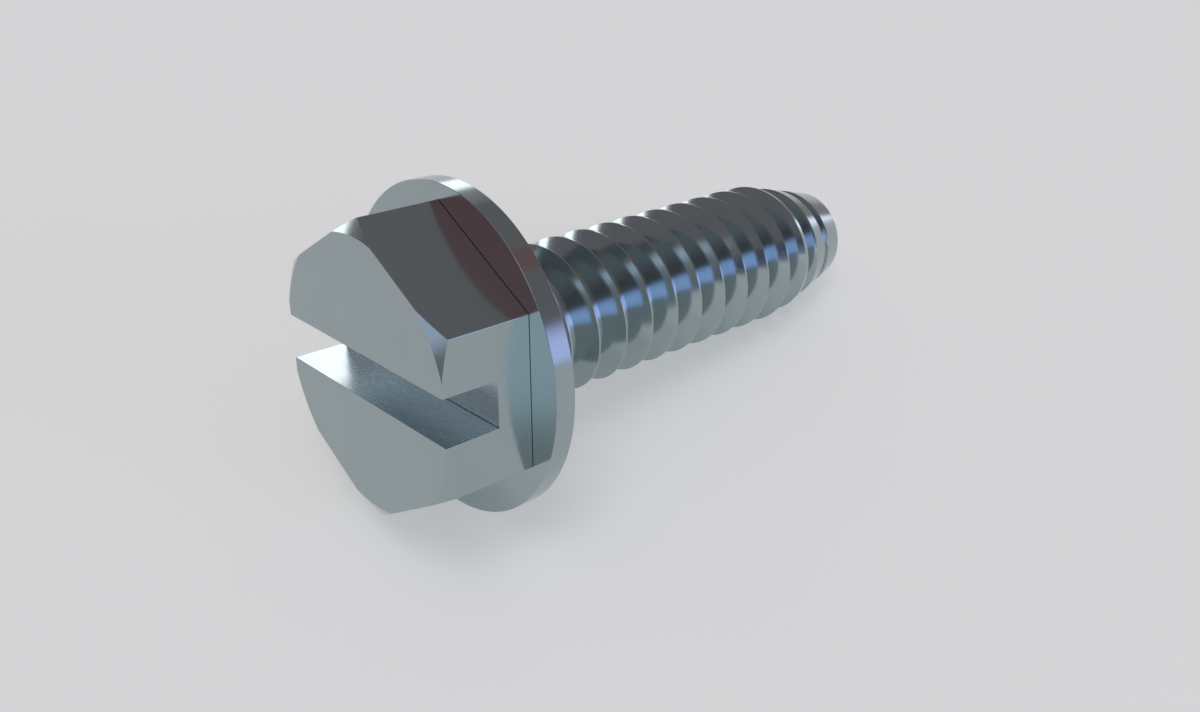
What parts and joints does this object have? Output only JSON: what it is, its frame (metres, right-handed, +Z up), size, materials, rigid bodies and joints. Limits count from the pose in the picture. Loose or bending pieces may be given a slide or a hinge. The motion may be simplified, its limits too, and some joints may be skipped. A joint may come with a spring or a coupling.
{
  "type": "slotted hex washer head screw",
  "caption": "Machine screw with a slotted hexagon head, a round flange forged under it and a full length right-hand thread that tapers at the point.",
  "frame": {"origin": "on the screw's axis, where the shank leaves the underside of the flange", "axes": "+Z up from the surface that the screw lies on, +X the level direction in which the point lies, +Y across; the screw's axis falls from the head to the point by 11.84 degrees in the X-Z plane"},
  "size_m": [0.0202, 0.0102, 0.0101],
  "materials": {
    "zinc_plated_steel": "bright zinc plating over rolled steel"
  },
  "bodies": {
    "root": {"screw": "zinc_plated_steel"}
  },
  "joints": []
}
